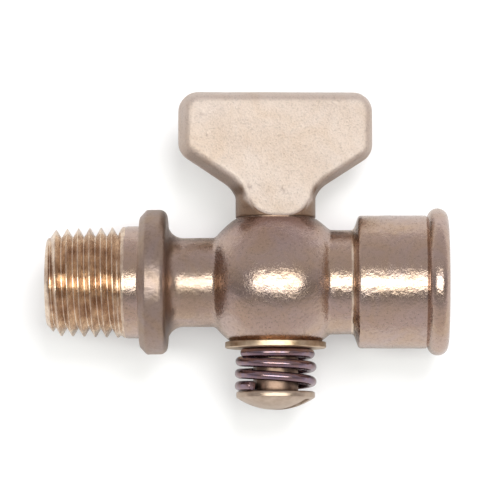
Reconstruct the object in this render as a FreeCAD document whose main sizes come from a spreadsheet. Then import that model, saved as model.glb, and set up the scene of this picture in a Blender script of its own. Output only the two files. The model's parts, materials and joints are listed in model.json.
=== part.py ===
import FreeCAD, Part
import math
import os
import re

import Sketcher

# Ground-key plug cock with a tee handle, 1/4-18 NPT male inlet and female outlet.
# Frame: origin at the centre of the male inlet face, +X along the flow to the outlet, +Z up the key
# to the handle. The key, its washer, its spring and its screw share one upright axis.

SIZES = [
    # Body, measured along the pipe axis from the inlet face
    ("KeyX", 28.5, "inlet face to the key's axis"),
    ("OutletReach", 21.5, "key's axis to the outlet face"),
    ("ThreadLength", 9.6, "threaded length of the male end"),
    ("ThreadTipRadius", 5.35, "radius of the inlet face"),
    ("ThreadChamfer", 1.2, "length of the lead chamfer"),
    ("CollarX", 11.6, "inlet face to the collar"),
    ("CollarWidth", 3.4, "collar length along the pipe"),
    ("CollarRadius", 9.03, "collar outer radius"),
    ("CollarBevel", 0.9, "chamfer on the collar's front edge"),
    ("CollarRound", 0.9, "rounding of the collar's back edge"),
    ("BlankRadius", 7.0, "plain stretch between thread and collar"),
    ("InletNeckRadius", 5.55, "neck between collar and ball"),
    ("NeckCove", 2.0, "cove between collar and neck"),
    ("BallRadius", 9.35, "ball round the key"),
    ("BallTop", 7.8, "flat on top of the ball, above the pipe axis"),
    ("BallBottom", 7.45, "flat under the ball, below the pipe axis"),
    ("OutletNeckRadius", 6.5, "neck between ball and barrel"),
    ("BarrelStart", 9.6, "key's axis to the barrel's shoulder"),
    ("BarrelShoulder", 0.75, "length of the sloping shoulder"),
    ("BarrelRadius", 8.29, "socket barrel"),
    ("BeadRadius", 1.3, "section radius of the bead at the mouth"),
    ("BeadOuterRadius", 9.19, "bead outer radius"),
    ("NeckFillet", 0.7, "fillets where the necks meet the ball"),
    # Waterway
    ("InletBoreRadius", 3.5, "bore through the male end"),
    ("InletBoreDepth", 16.5, "inlet face to the end of that bore"),
    ("PortRadius", 2.25, "waterway through body and key"),
    ("TapDrillRadius", 5.556, "7/16 inch tap drill"),
    ("TapDrillDepth", 10.6, "outlet face to the end of the tap drill"),
    ("DrillTipAngle", 59, "half of the drill's tip angle"),
    ("LeadInRadius", 7.0, "recess at the mouth of the socket"),
    ("LeadInDepth", 1.0, "depth of that recess"),
    # 1/4-18 NPT
    ("ThreadPitch", 1.4111, "18 threads to the inch"),
    ("ThreadHeight", 1.07, "crest to root, both a little truncated"),
    ("ThreadCrest", 0.1, "flat left on each crest"),
    ("ThreadSlope", 0.03125, "radius gained per length, 1 in 16 on diameter"),
    ("MaleTipMajor", 6.63, "male thread's crest radius at the inlet face"),
    ("FemaleMouthMajor", 6.81, "female thread's root radius at the outlet face"),
    ("SocketThreadLength", 8.4, "threaded depth of the socket"),
    # Key: heights are above or below the pipe axis
    ("KeyTurn", 8.5, "handle's turn past in-line at rest, degrees"),
    ("KeyTopRadius", 4.9, "tapered key where it leaves the body's top"),
    ("KeyTaper", 0.0714, "radius lost per length, 1 in 7 on diameter"),
    ("SeatGap", 0.03, "grease film between key and body"),
    ("KeyRecess", 0.35, "key's small end above the body's underside"),
    ("LipRadius", 5.1, "lip above the body's top"),
    ("LipGap", 0.2, "lip's height above the body's top"),
    ("LipHeight", 0.4, "lip thickness"),
    ("StemRadius", 5.0, "round stem under the handle"),
    ("StemTop", 11.6, "top of the round stem"),
    ("TongueBottom", 8.4, "lowest point of the stem's flats"),
    ("TongueRadius", 4.3, "rounding of the flats' lower end"),
    # Handle
    ("HandleHalf", 12.2, "half of the handle's span"),
    ("HandleTop", 24.0, "handle top"),
    ("HandleThick", 6.1, "handle thickness"),
    ("HandleTopCorner", 2.4, "top corner rounding"),
    ("HandleSideLow", 17.4, "lower end of the straight side"),
    ("HandleLowCorner", 2.4, "lower corner rounding"),
    ("HandleSlope", 33, "underside's angle to the horizontal, degrees"),
    ("HandleArmpit", 3.6, "cove between underside and stem"),
    ("HandleNeck", 4.75, "half width of the handle where it meets the stem"),
    ("HandleEdge", 1.0, "edge rounding"),
    # Lower stem and what hangs on it
    ("TailStep", 0.736, "shoulder between the taper's small end and the lower stem"),
    ("TailRadius", "=KeyTopRadius - KeyTaper * (BallTop + BallBottom - KeyRecess) - TailStep", "lower stem"),
    ("TailFlatDepth", 0.5, "depth of the lower stem's two flats"),
    ("TailFlat", "=TailRadius - TailFlatDepth", "lower stem's axis to each flat"),
    ("WireRadius", 0.6, "spring wire radius"),
    ("SpringClearance", 0.8, "play between the lower stem and the coils"),
    ("SpringRadius", "=TailRadius + SpringClearance + 2 * WireRadius", "spring outer radius"),
    ("SpringLength", 5.35, "spring length as fitted"),
    ("SpringEndGap", 0.02, "grease film between the spring's ends and what they bear on"),
    ("SpringEnd", 230, "bearing of the lower wire end, degrees"),
    ("SpringTurns", 3.064, "turns from one wire end to the other"),
    ("WasherMargin", 1.2, "how far the washer stands out past the spring"),
    ("WasherRadius", "=SpringRadius + WasherMargin", "washer outer radius"),
    ("WasherThick", 0.85, "washer thickness"),
    ("WasherGap", 0.05, "washer's play on the stem and its flats"),
    ("ScrewHeadInset", 0.2, "how far the screw head stays inside the spring's outside"),
    ("ScrewHeadRadius", "=SpringRadius - ScrewHeadInset", "screw head radius"),
    ("ScrewRim", 0.75, "screw head's straight rim"),
    ("ScrewDome", 1.55, "height of its dome"),
    ("ScrewSlotWidth", 1.2, "slot width"),
    ("ScrewSlotDepth", 1.3, "slot depth"),
    ("ScrewSlotTurn", -27, "slot's bearing, degrees"),
    ("ScrewHoleWall", 0.6, "wall between the screw's hole and the lower stem's flats"),
    ("ScrewRadius", "=TailFlat - ScrewHoleWall", "screw thread radius"),
    ("ScrewLength", 5.0, "screw length in the stem"),
]

doc = FreeCAD.newDocument("plug_cock")
sheet = doc.addObject("Spreadsheet::Sheet", "Sizes")
for row, (alias, content, meaning) in enumerate(SIZES, start=1):
    sheet.set(f"A{row}", meaning)
    sheet.set(f"B{row}", str(content))
    sheet.setAlias(f"B{row}", alias)
doc.recompute()


def cell(formula):
    """A formula over the sheet's aliases, as an expression."""
    return re.sub(r"\b([A-Z]\w+)", r"Sizes.\1", str(formula))


def value(formula):
    """The number that such a formula gives now."""
    return float(sheet.evalExpression(cell(formula)))


def bind(thing, prop, formula):
    """Bind one property to a formula over the sheet."""
    thing.setExpression(prop, cell(formula))


def new_body(label):
    body = doc.addObject("PartDesign::Body", label)
    body.Label = label
    return body


def new_sketch(body, name, role, shift=None):
    """A sketch on one of the body's origin planes, shifted by formulas along its own axes."""
    sketch = body.newObject("Sketcher::SketchObject", name)
    plane = [item for item in body.Origin.OriginFeatures if item.Role == role][0]
    sketch.AttachmentSupport = (plane, [""])
    sketch.MapMode = "FlatFace"
    for axis, formula in (shift or {}).items():
        bind(sketch, f"AttachmentOffset.Base.{axis}", formula)
    return sketch


def pin(sketch, curve, end, across, up):
    """Hold one end of a curve at formulas measured from the sketch's origin."""
    for kind, formula in (("DistanceX", across), ("DistanceY", up)):
        index = sketch.addConstraint(Sketcher.Constraint(kind, -1, 1, curve, end, value(formula)))
        if re.search("[A-Z]", str(formula)):
            bind(sketch, f"Constraints[{index}]", formula)


def draw(sketch, steps):
    """Draw a closed outline. Each step is (across, up): a straight run to that point, or
    (across, up, radius): an arc to it, counter-clockwise where the radius' sign is +, clockwise
    where it is -. The outline starts at the last point."""
    here = steps[-1][:2]
    first = last = None
    for step in steps:
        start = FreeCAD.Vector(value(here[0]), value(here[1]), 0)
        stop = FreeCAD.Vector(value(step[0]), value(step[1]), 0)
        begin, finish = 1, 2
        if len(step) == 3:
            sign = step[2][0]
            radius = value(step[2][1:])
            chord = stop - start
            sagitta = math.sqrt(max(radius**2 - chord.Length**2 / 4, 0))
            left = FreeCAD.Vector(-chord.y, chord.x, 0).normalize()
            middle = (start + stop) / 2
            centre = middle + left * (sagitta if sign == "+" else -sagitta)
            if sign == "-":
                start, stop = stop, start
                begin, finish = 2, 1
            angles = [math.atan2((p - centre).y, (p - centre).x) for p in (start, stop)]
            circle = Part.Circle(centre, FreeCAD.Vector(0, 0, 1), radius)
            curve = sketch.addGeometry(Part.ArcOfCircle(circle, angles[0], angles[1]))
        else:
            curve = sketch.addGeometry(Part.LineSegment(start, stop))
        if last is None:
            first = (curve, begin)
        else:
            sketch.addConstraint(Sketcher.Constraint("Coincident", last[0], last[1], curve, begin))
        last = (curve, finish)
        if step is steps[-1]:
            sketch.addConstraint(Sketcher.Constraint("Coincident", last[0], last[1], *first))
        pin(sketch, curve, finish, step[0], step[1])
        if len(step) == 3:
            index = sketch.addConstraint(Sketcher.Constraint("Radius", curve, radius))
            if re.search("[A-Z]", step[2]):
                bind(sketch, f"Constraints[{index}]", step[2][1:])
        here = step[:2]


def draw_circle(sketch, radius, across="0", up="0"):
    """Draw a whole circle of a bound radius."""
    centre = FreeCAD.Vector(value(across), value(up), 0)
    curve = sketch.addGeometry(Part.Circle(centre, FreeCAD.Vector(0, 0, 1), value(radius)))
    pin(sketch, curve, 3, across, up)
    index = sketch.addConstraint(Sketcher.Constraint("Radius", curve, value(radius)))
    bind(sketch, f"Constraints[{index}]", radius)


def volume_of(body):
    doc.recompute()
    return body.Shape.Volume


def turned(body, kind, name, sketch, axis):
    """Revolution or Groove of a sketch right round one of its own axes."""
    feature = body.newObject(f"PartDesign::{kind}", name)
    feature.Profile = sketch
    feature.ReferenceAxis = (sketch, [axis])
    feature.Angle = 360
    return feature


def check_cut(body, before, name):
    """A cut that points away from the solid removes nothing, so its effect is measured."""
    after = volume_of(body)
    if not after < before - 1e-3:
        raise RuntimeError(f"{name} cut nothing")
    return after


def is_ring(edge, x, radius):
    """Whether an edge is the circle of one radius about the pipe axis at one place."""
    curve = edge.Curve
    return (isinstance(curve, Part.Circle) and abs(curve.Radius - radius) < 1e-4
            and abs(curve.Center.x - x) < 1e-4)


def sweep(path, section):
    """Closed solid of a closed section carried along a path, kept square to it."""
    shell = Part.BRepOffsetAPI.MakePipeShell(path)
    shell.setFrenetMode(True)
    shell.add(section)
    shell.build()
    shell.makeSolid()
    solid = shell.shape()
    if solid.Volume < 0:
        solid.reverse()
    return solid


def thread_cutter(name, start, length, crest, inwards):
    """A V-shaped tooth on a tapered right-hand helix. It starts one pitch outside the end face, at
    start, and runs along the pipe. crest is the crest radius at that face. A male thread is cut
    inwards from its crests; a female thread is cut outwards from them."""
    pitch = value("ThreadPitch")
    height = value("ThreadHeight")
    slope = value("ThreadSlope")
    half = (pitch - value("ThreadCrest")) / 2
    root = half - height * math.tan(math.radians(30))
    side = -1 if inwards else 1
    base = crest + side * pitch * slope
    depth = side * height
    tooth = [
        (base, -half), (base + depth, -root), (base + depth, root),
        (base, half), (base - depth / 2, half), (base - depth / 2, -half),
    ]
    corners = [FreeCAD.Vector(radius, 0, along) for radius, along in tooth]
    section = Part.makePolygon(corners + corners[:1])
    angle = -side * math.degrees(math.atan(slope))
    path = Part.makeLongHelix(pitch, length + pitch, base, angle)
    cutter = doc.addObject("Part::Feature", name)
    cutter.Shape = sweep(Part.Wire(path.Edges), section)
    outside = start - pitch if inwards else start + pitch
    turn = FreeCAD.Rotation(FreeCAD.Vector(0, 1, 0), 90 if inwards else -90)
    cutter.Placement = FreeCAD.Placement(FreeCAD.Vector(outside, 0, 0), turn)
    return cutter


def cut_from(label, base, tool):
    cut = doc.addObject("Part::Cut", label)
    cut.Label = label
    cut.Base = base
    cut.Tool = tool
    before = base.Shape.Volume
    doc.recompute()
    if not cut.Shape.Volume < before - 1:
        raise RuntimeError(f"{label} cut nothing")
    return cut


def make_valve_body():
    body = new_body("body_blank")
    outline = new_sketch(body, "BodyOutline", "XZ_Plane")
    collar_end = "(CollarX + CollarWidth)"
    ball_in = "(KeyX - sqrt(BallRadius^2 - InletNeckRadius^2))"
    ball_out = "(KeyX + sqrt(BallRadius^2 - OutletNeckRadius^2))"
    bead_x = "(KeyX + OutletReach - BeadRadius)"
    bead_axis = "(BeadOuterRadius - BeadRadius)"
    bead_start = f"{bead_x} - sqrt(BeadRadius^2 - (BarrelRadius - {bead_axis})^2)"
    draw(outline, [
        ("0", "ThreadTipRadius"),
        ("ThreadChamfer", "MaleTipMajor + ThreadChamfer * ThreadSlope"),
        ("ThreadLength", "MaleTipMajor + ThreadLength * ThreadSlope"),
        ("ThreadLength", "BlankRadius"),
        ("CollarX", "BlankRadius"),
        ("CollarX", "CollarRadius - CollarBevel"),
        ("CollarX + CollarBevel", "CollarRadius"),
        (f"{collar_end} - CollarRound", "CollarRadius"),
        (collar_end, "CollarRadius - CollarRound", "-CollarRound"),
        (collar_end, "InletNeckRadius + NeckCove"),
        (f"{collar_end} + NeckCove", "InletNeckRadius", "+NeckCove"),
        (ball_in, "InletNeckRadius"),
        (ball_out, "OutletNeckRadius", "-BallRadius"),
        ("KeyX + BarrelStart", "OutletNeckRadius"),
        ("KeyX + BarrelStart + BarrelShoulder", "BarrelRadius"),
        (bead_start, "BarrelRadius"),
        (bead_x, "BeadOuterRadius", "-BeadRadius"),
        ("KeyX + OutletReach", bead_axis, "-BeadRadius"),
        ("KeyX + OutletReach", "0"),
        ("0", "0"),
    ])
    blank = turned(body, "Revolution", "BodyTurned", outline, "H_Axis")
    doc.recompute()

    # Coves where the necks run into the ball
    junctions = [(value(ball_in), value("InletNeckRadius")), (value(ball_out), value("OutletNeckRadius"))]
    edges = [f"Edge{number}" for number, edge in enumerate(blank.Shape.Edges, start=1)
             if any(is_ring(edge, x, radius) for x, radius in junctions)]
    coves = body.newObject("PartDesign::Fillet", "NeckCoves")
    coves.Base = (blank, edges)
    bind(coves, "Radius", "NeckFillet")
    solid = volume_of(body)

    # Ball flats and tapered seat, cut as one turned shape round the key's axis
    seat = new_sketch(body, "SeatOutline", "XZ_Plane", {"x": "KeyX"})
    draw(seat, [
        ("0", "-BallRadius"),
        ("BallRadius", "-BallRadius"),
        ("BallRadius", "-BallBottom"),
        ("KeyTopRadius + SeatGap - KeyTaper * (BallTop + BallBottom)", "-BallBottom"),
        ("KeyTopRadius + SeatGap", "BallTop"),
        ("BallRadius", "BallTop"),
        ("BallRadius", "BallRadius"),
        ("0", "BallRadius"),
    ])
    turned(body, "Groove", "SeatAndFlats", seat, "V_Axis")
    solid = check_cut(body, solid, "SeatAndFlats")

    # Waterway: bore and drill point from the inlet, port, drill point, tap drill and lead-in recess
    inlet_cone = "(InletBoreRadius - PortRadius) / tan(DrillTipAngle)"
    outlet_cone = "(TapDrillRadius - PortRadius) / tan(DrillTipAngle)"
    mouth = "(KeyX + OutletReach)"
    minor = "(FemaleMouthMajor - ThreadHeight)"
    waterway = new_sketch(body, "WaterwayOutline", "XZ_Plane")
    draw(waterway, [
        ("-1", "InletBoreRadius"),
        ("InletBoreDepth", "InletBoreRadius"),
        (f"InletBoreDepth + {inlet_cone}", "PortRadius"),
        (f"{mouth} - TapDrillDepth - {outlet_cone}", "PortRadius"),
        (f"{mouth} - TapDrillDepth", "TapDrillRadius"),
        (f"{mouth} - ({minor} - TapDrillRadius) / ThreadSlope", "TapDrillRadius"),
        (f"{mouth} - LeadInDepth", f"{minor} - LeadInDepth * ThreadSlope"),
        (f"{mouth} - LeadInDepth", "LeadInRadius"),
        (f"{mouth} + 1", "LeadInRadius"),
        (f"{mouth} + 1", "0"),
        ("-1", "0"),
    ])
    turned(body, "Groove", "Waterway", waterway, "H_Axis")
    solid = check_cut(body, solid, "Waterway")

    male = thread_cutter("MaleTooth", 0, value("ThreadLength"), value("MaleTipMajor"), True)
    threaded = cut_from("inlet_threaded", body, male)
    female = thread_cutter("FemaleTooth", value(mouth), value("SocketThreadLength"), value(minor), False)
    return cut_from("valve_body", threaded, female)


def stand_on_key_axis(thing, height, turn):
    """Place a piece on the key's axis at a height, turned about it by a bearing in degrees."""
    upright = FreeCAD.Vector(0, 0, 1)
    thing.Placement = FreeCAD.Placement(FreeCAD.Vector(0, 0, 0), FreeCAD.Rotation(upright, 1))
    bind(thing, "Placement.Base.x", "KeyX")
    bind(thing, "Placement.Base.z", height)
    bind(thing, "Placement.Rotation.Angle", turn)


TAIL_END = "(-(BallBottom + WasherThick + SpringLength))"


def make_plug_key():
    """Tapered key, round stem and tee handle, one forging, with its port, flats and tapped tail."""
    body = new_body("plug_key")

    # Handle blade: flat bar with rounded corners, sloping underside and a cove to the stem
    outline = new_sketch(body, "BladeOutline", "XZ_Plane")
    corner_x = "(HandleHalf - HandleLowCorner + HandleLowCorner * sin(HandleSlope))"
    corner_z = "(HandleSideLow - HandleLowCorner * cos(HandleSlope))"
    cove_x = "(HandleNeck + HandleArmpit * (1 - sin(HandleSlope)))"
    cove_z = f"({corner_z} - ({corner_x} - {cove_x}) * tan(HandleSlope))"
    neck_z = f"({cove_z} - HandleArmpit * cos(HandleSlope))"
    draw(outline, [
        ("HandleNeck", neck_z),
        (cove_x, cove_z, "-HandleArmpit"),
        (corner_x, corner_z),
        ("HandleHalf", "HandleSideLow", "+HandleLowCorner"),
        ("HandleHalf", "HandleTop - HandleTopCorner"),
        ("HandleHalf - HandleTopCorner", "HandleTop", "+HandleTopCorner"),
        ("HandleTopCorner - HandleHalf", "HandleTop"),
        ("-HandleHalf", "HandleTop - HandleTopCorner", "+HandleTopCorner"),
        ("-HandleHalf", "HandleSideLow"),
        (f"-{corner_x}", corner_z, "+HandleLowCorner"),
        (f"-{cove_x}", cove_z),
        ("-HandleNeck", neck_z, "-HandleArmpit"),
    ])
    blade = body.newObject("PartDesign::Pad", "Blade")
    blade.Profile = outline
    blade.SideType = "Symmetric"
    bind(blade, "Length", "HandleThick")
    doc.recompute()
    faces = value("HandleThick") / 2
    low = value(neck_z)
    rim = [f"Edge{number}" for number, edge in enumerate(blade.Shape.Edges, start=1)
           if all(abs(abs(v.Y) - faces) < 1e-6 for v in edge.Vertexes)
           and edge.CenterOfMass.z > low + 1e-3]
    rounding = body.newObject("PartDesign::Fillet", "BladeEdges")
    rounding.Base = (blade, rim)
    bind(rounding, "Radius", "HandleEdge")

    # Stem, lip, taper and tail, turned about the key's axis
    turning = new_sketch(body, "KeyOutline", "XZ_Plane")
    small_end = "(KeyRecess - BallBottom)"
    lip = "(BallTop + LipGap)"
    draw(turning, [
        ("TailRadius", TAIL_END),
        ("TailRadius", small_end),
        (f"KeyTopRadius - KeyTaper * (BallTop - {small_end})", small_end),
        ("KeyTopRadius + KeyTaper * LipGap", lip),
        ("LipRadius", lip),
        ("LipRadius", f"{lip} + LipHeight"),
        ("StemRadius", f"{lip} + LipHeight"),
        ("StemRadius", "StemTop"),
        ("0", "StemTop"),
        ("0", TAIL_END),
    ])
    turned(body, "Revolution", "KeyTurned", turning, "V_Axis")
    solid = volume_of(body)

    # Flats on both sides of the stem carry the blade's faces down to a rounded end
    for side in (-1, 1):
        name = "FrontTongue" if side < 0 else "BackTongue"
        tongue = new_sketch(body, f"{name}Outline", "XZ_Plane", {"z": f"{-side} * HandleThick / 2"})
        draw(tongue, [
            ("0", "TongueBottom", "+TongueRadius"),
            ("TongueRadius", "TongueBottom + TongueRadius", "+TongueRadius"),
            ("TongueRadius", "StemTop + 1"),
            ("-TongueRadius", "StemTop + 1"),
            ("-TongueRadius", "TongueBottom + TongueRadius"),
        ])
        scoop = body.newObject("PartDesign::Pocket", name)
        scoop.Profile = tongue
        scoop.Reversed = side < 0
        bind(scoop, "Length", "StemRadius")
        solid = check_cut(body, solid, name)

    port = new_sketch(body, "PortCircle", "YZ_Plane")
    draw_circle(port, "PortRadius")
    bore = body.newObject("PartDesign::Pocket", "Port")
    bore.Profile = port
    bore.SideType = "Symmetric"
    bind(bore, "Length", "4 * KeyTopRadius")
    solid = check_cut(body, solid, "Port")

    # Two flats along the tail turn the washer with the key
    flats = new_sketch(body, "TailFlatsOutline", "XY_Plane", {"z": small_end})
    for side in ("", "-"):
        draw(flats, [
            (f"{side}TailFlat", "TailRadius"),
            (f"{side}2 * TailRadius", "TailRadius"),
            (f"{side}2 * TailRadius", "-TailRadius"),
            (f"{side}TailFlat", "-TailRadius"),
        ])
    milled = body.newObject("PartDesign::Pocket", "TailFlats")
    milled.Profile = flats
    bind(milled, "Length", f"{small_end} - {TAIL_END} + 1")
    solid = check_cut(body, solid, "TailFlats")

    hole = new_sketch(body, "ScrewHoleOutline", "XZ_Plane")
    draw(hole, [
        ("ScrewRadius", f"{TAIL_END} - 1"),
        ("ScrewRadius", f"{TAIL_END} + ScrewLength"),
        ("0", f"{TAIL_END} + ScrewLength + ScrewRadius / tan(DrillTipAngle)"),
        ("0", f"{TAIL_END} - 1"),
    ])
    turned(body, "Groove", "ScrewHole", hole, "V_Axis")
    check_cut(body, solid, "ScrewHole")
    stand_on_key_axis(body, "0", "KeyTurn")
    return body


def make_washer():
    """Flat washer whose hole has the tail's two flats."""
    body = new_body("keyed_washer")
    sketch = new_sketch(body, "WasherOutline", "XY_Plane")
    draw_circle(sketch, "WasherRadius")
    hole = "(TailRadius + WasherGap)"
    flat = "(TailFlat + WasherGap)"
    half = f"sqrt({hole}^2 - {flat}^2)"
    draw(sketch, [
        (flat, half),
        (f"-{flat}", half, f"+{hole}"),
        (f"-{flat}", f"-{half}"),
        (flat, f"-{half}", f"+{hole}"),
    ])
    disc = body.newObject("PartDesign::Pad", "WasherDisc")
    disc.Profile = sketch
    bind(disc, "Length", "WasherThick")
    stand_on_key_axis(body, "-(BallBottom + WasherThick)", "KeyTurn")
    return body


def make_screw():
    """Dome-headed slotted screw. Its own origin is under the head, where it meets the tail."""
    body = new_body("retaining_screw")
    sketch = new_sketch(body, "ScrewOutline", "XZ_Plane")
    dome = "((ScrewHeadRadius^2 + ScrewDome^2) / (2 * ScrewDome))"
    draw(sketch, [
        ("ScrewHeadRadius", "-ScrewRim", f"+{dome}"),
        ("ScrewHeadRadius", "0"),
        ("ScrewRadius", "0"),
        ("ScrewRadius", "ScrewLength"),
        ("0", "ScrewLength"),
        ("0", "-(ScrewRim + ScrewDome)"),
    ])
    turned(body, "Revolution", "ScrewTurned", sketch, "V_Axis")
    solid = volume_of(body)
    slot = new_sketch(body, "SlotOutline", "XY_Plane", {"z": "-(ScrewRim + ScrewDome)"})
    draw(slot, [
        ("ScrewHeadRadius + 1", "-ScrewSlotWidth / 2"),
        ("ScrewHeadRadius + 1", "ScrewSlotWidth / 2"),
        ("-ScrewHeadRadius - 1", "ScrewSlotWidth / 2"),
        ("-ScrewHeadRadius - 1", "-ScrewSlotWidth / 2"),
    ])
    cut = body.newObject("PartDesign::Pocket", "ScrewSlot")
    cut.Profile = slot
    cut.Reversed = True
    bind(cut, "Length", "ScrewSlotDepth")
    check_cut(body, solid, "ScrewSlot")
    stand_on_key_axis(body, TAIL_END, "ScrewSlotTurn")
    return body


# Share of the wire's whole fall made in each sixth of its length, about half a turn, from the upper
# end down: the first lies flat against the washer and the last nearly flat on the screw head
SPRING_FALLS = [0.0, 0.29, 0.14, 0.22, 0.26, 0.09]
SPRING_STEPS = 12


def stepped_fall(halves):
    """Share of the wire's fall after a number of half turns, each falling evenly."""
    whole = min(max(int(halves), 0), len(SPRING_FALLS) - 1)
    return sum(SPRING_FALLS[:whole]) + SPRING_FALLS[whole] * min(max(halves - whole, 0), 1)


def spring_fall(halves):
    """The same share, eased between neighbouring half turns and still reaching the whole fall."""
    reach = 0.3
    eased = (stepped_fall(halves - reach) + 2 * stepped_fall(halves) + stepped_fall(halves + reach)) / 4
    last = len(SPRING_FALLS)
    end = (stepped_fall(last - reach) + 3 * stepped_fall(last)) / 4
    return eased / end


def make_spring():
    """Left-hand compression spring with closed ends, between the washer and the screw head."""
    wire = value("WireRadius")
    coil = value("SpringRadius") - wire
    end = wire + value("SpringEndGap")
    top = -(value("BallBottom") + value("WasherThick") + end)
    fall = value("SpringLength") - 2 * end
    turn = 360 * value("SpringTurns")
    points = []
    for step in range(len(SPRING_FALLS) * SPRING_STEPS + 1):
        halves = step / SPRING_STEPS
        bearing = math.radians(value("SpringEnd") + turn * (halves / len(SPRING_FALLS) - 1))
        drop = fall * spring_fall(halves)
        points.append(FreeCAD.Vector(coil * math.cos(bearing), coil * math.sin(bearing), top - drop))
    curve = Part.BSplineCurve()
    curve.interpolate(points)
    section = Part.Wire(Part.makeCircle(wire, points[0], curve.tangent(curve.FirstParameter)[0]))
    spring = doc.addObject("Part::Feature", "compression_spring")
    spring.Label = "compression_spring"
    spring.Shape = sweep(Part.Wire(curve.toShape()), section)
    spring.Placement = FreeCAD.Placement(FreeCAD.Vector(value("KeyX"), 0, 0), FreeCAD.Rotation())
    return spring


def write_parts(parts):
    """Check every object of the document and every sub-part, then write one STEP file for each."""
    doc.recompute()
    for item in doc.Objects:
        if "Invalid" in item.State or "Error" in item.State:
            raise RuntimeError(f"{item.Label}: {item.getStatusString()}")
    for part in parts:
        shape = part.Shape
        if shape.isNull() or not shape.isValid() or len(shape.Solids) != 1:
            raise RuntimeError(f"{part.Label} is not one valid solid")
    os.makedirs("parts", exist_ok=True)
    for part in parts:
        part.Shape.exportStep(f"parts/{part.Label}.step")


write_parts([make_valve_body(), make_plug_key(), make_washer(), make_spring(), make_screw()])
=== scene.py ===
"""Looks of a 1/4 inch ground-key plug cock with a tee handle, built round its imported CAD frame.

Shapes are worked out in millimetres in the row frame, +X along the pipe from the male inlet and +Z up
the key, and are put into the meshes in metres."""

import json
import math

import bmesh
import bpy
import numpy as np
from bpy.props import FloatProperty, FloatVectorProperty, PointerProperty
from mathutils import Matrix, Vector


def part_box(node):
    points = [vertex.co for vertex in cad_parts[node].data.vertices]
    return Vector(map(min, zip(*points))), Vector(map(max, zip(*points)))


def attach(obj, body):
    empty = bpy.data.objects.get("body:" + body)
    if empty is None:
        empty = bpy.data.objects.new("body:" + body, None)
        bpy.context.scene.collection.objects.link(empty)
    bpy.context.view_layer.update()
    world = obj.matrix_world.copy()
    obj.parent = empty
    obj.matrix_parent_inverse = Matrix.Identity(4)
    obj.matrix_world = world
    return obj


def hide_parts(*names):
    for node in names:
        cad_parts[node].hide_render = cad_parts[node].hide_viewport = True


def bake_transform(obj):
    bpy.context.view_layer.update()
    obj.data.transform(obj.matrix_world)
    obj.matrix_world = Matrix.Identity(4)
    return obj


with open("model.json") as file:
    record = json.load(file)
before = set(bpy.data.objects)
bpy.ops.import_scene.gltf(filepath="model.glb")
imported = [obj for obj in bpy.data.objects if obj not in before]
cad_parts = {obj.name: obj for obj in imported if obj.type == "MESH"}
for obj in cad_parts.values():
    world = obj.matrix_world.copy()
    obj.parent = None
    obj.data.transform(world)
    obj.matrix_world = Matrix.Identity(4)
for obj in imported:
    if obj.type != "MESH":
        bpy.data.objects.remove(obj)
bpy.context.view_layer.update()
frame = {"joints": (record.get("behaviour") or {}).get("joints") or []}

bl_info = {
    "name": "Ground-Key Plug Cock",
    "version": (1, 0, 0),
    "blender": (4, 5, 0),
    "location": "3D View > Sidebar > Plug Cock",
    "description": "Builds the forged brass skins of a small ground-key plug cock",
    "category": "Add Mesh",
}

MM = 0.001
BODY_LOW, BODY_HIGH = (Vector(corner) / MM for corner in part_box("valve_body"))
KEY_LOW, KEY_HIGH = (Vector(corner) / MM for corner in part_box("plug_key"))
WASHER_LOW, WASHER_HIGH = (Vector(corner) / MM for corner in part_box("keyed_washer"))
SPRING_LOW, SPRING_HIGH = (Vector(corner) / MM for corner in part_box("compression_spring"))
SCREW_LOW, SCREW_HIGH = (Vector(corner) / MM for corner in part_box("retaining_screw"))
KEY_X = frame["joints"][0]["pos_m"][0] / MM
LENGTH = BODY_HIGH.x
TAIL_END = KEY_LOW.z

COLUMNS = 224          # facets round the pipe
PITCH = 25.4 / 18      # 18 threads to the inch
TAPER = 1 / 32         # radius gained per length of a 1-in-16 pipe thread
THREAD_DEPTH = 1.07    # crest to root
THREAD_FLAT = 0.1      # flat on each crest and root
THREAD_END = 9.95      # where the male thread has run out
BALL_TOP = 7.8         # flat on top of the ball, above the pipe's axis
KEY_TOP = 4.9          # radius of the tapered key at that flat
KEY_SLOPE = 1 / 14     # radius lost per length of the key, 1 in 7 on diameter
SEAT_GAP = 0.03        # grease film between key and body
WIRE = 0.6             # radius of the spring's wire
PER_MM = 1 / MM        # a noise of this scale has features about 1 mm wide
BLEND = {"data_type": "RGBA"}
MULTIPLY = {"data_type": "RGBA", "blend_type": "MULTIPLY"}


# ---------------------------------------------------------------- shapes

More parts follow.
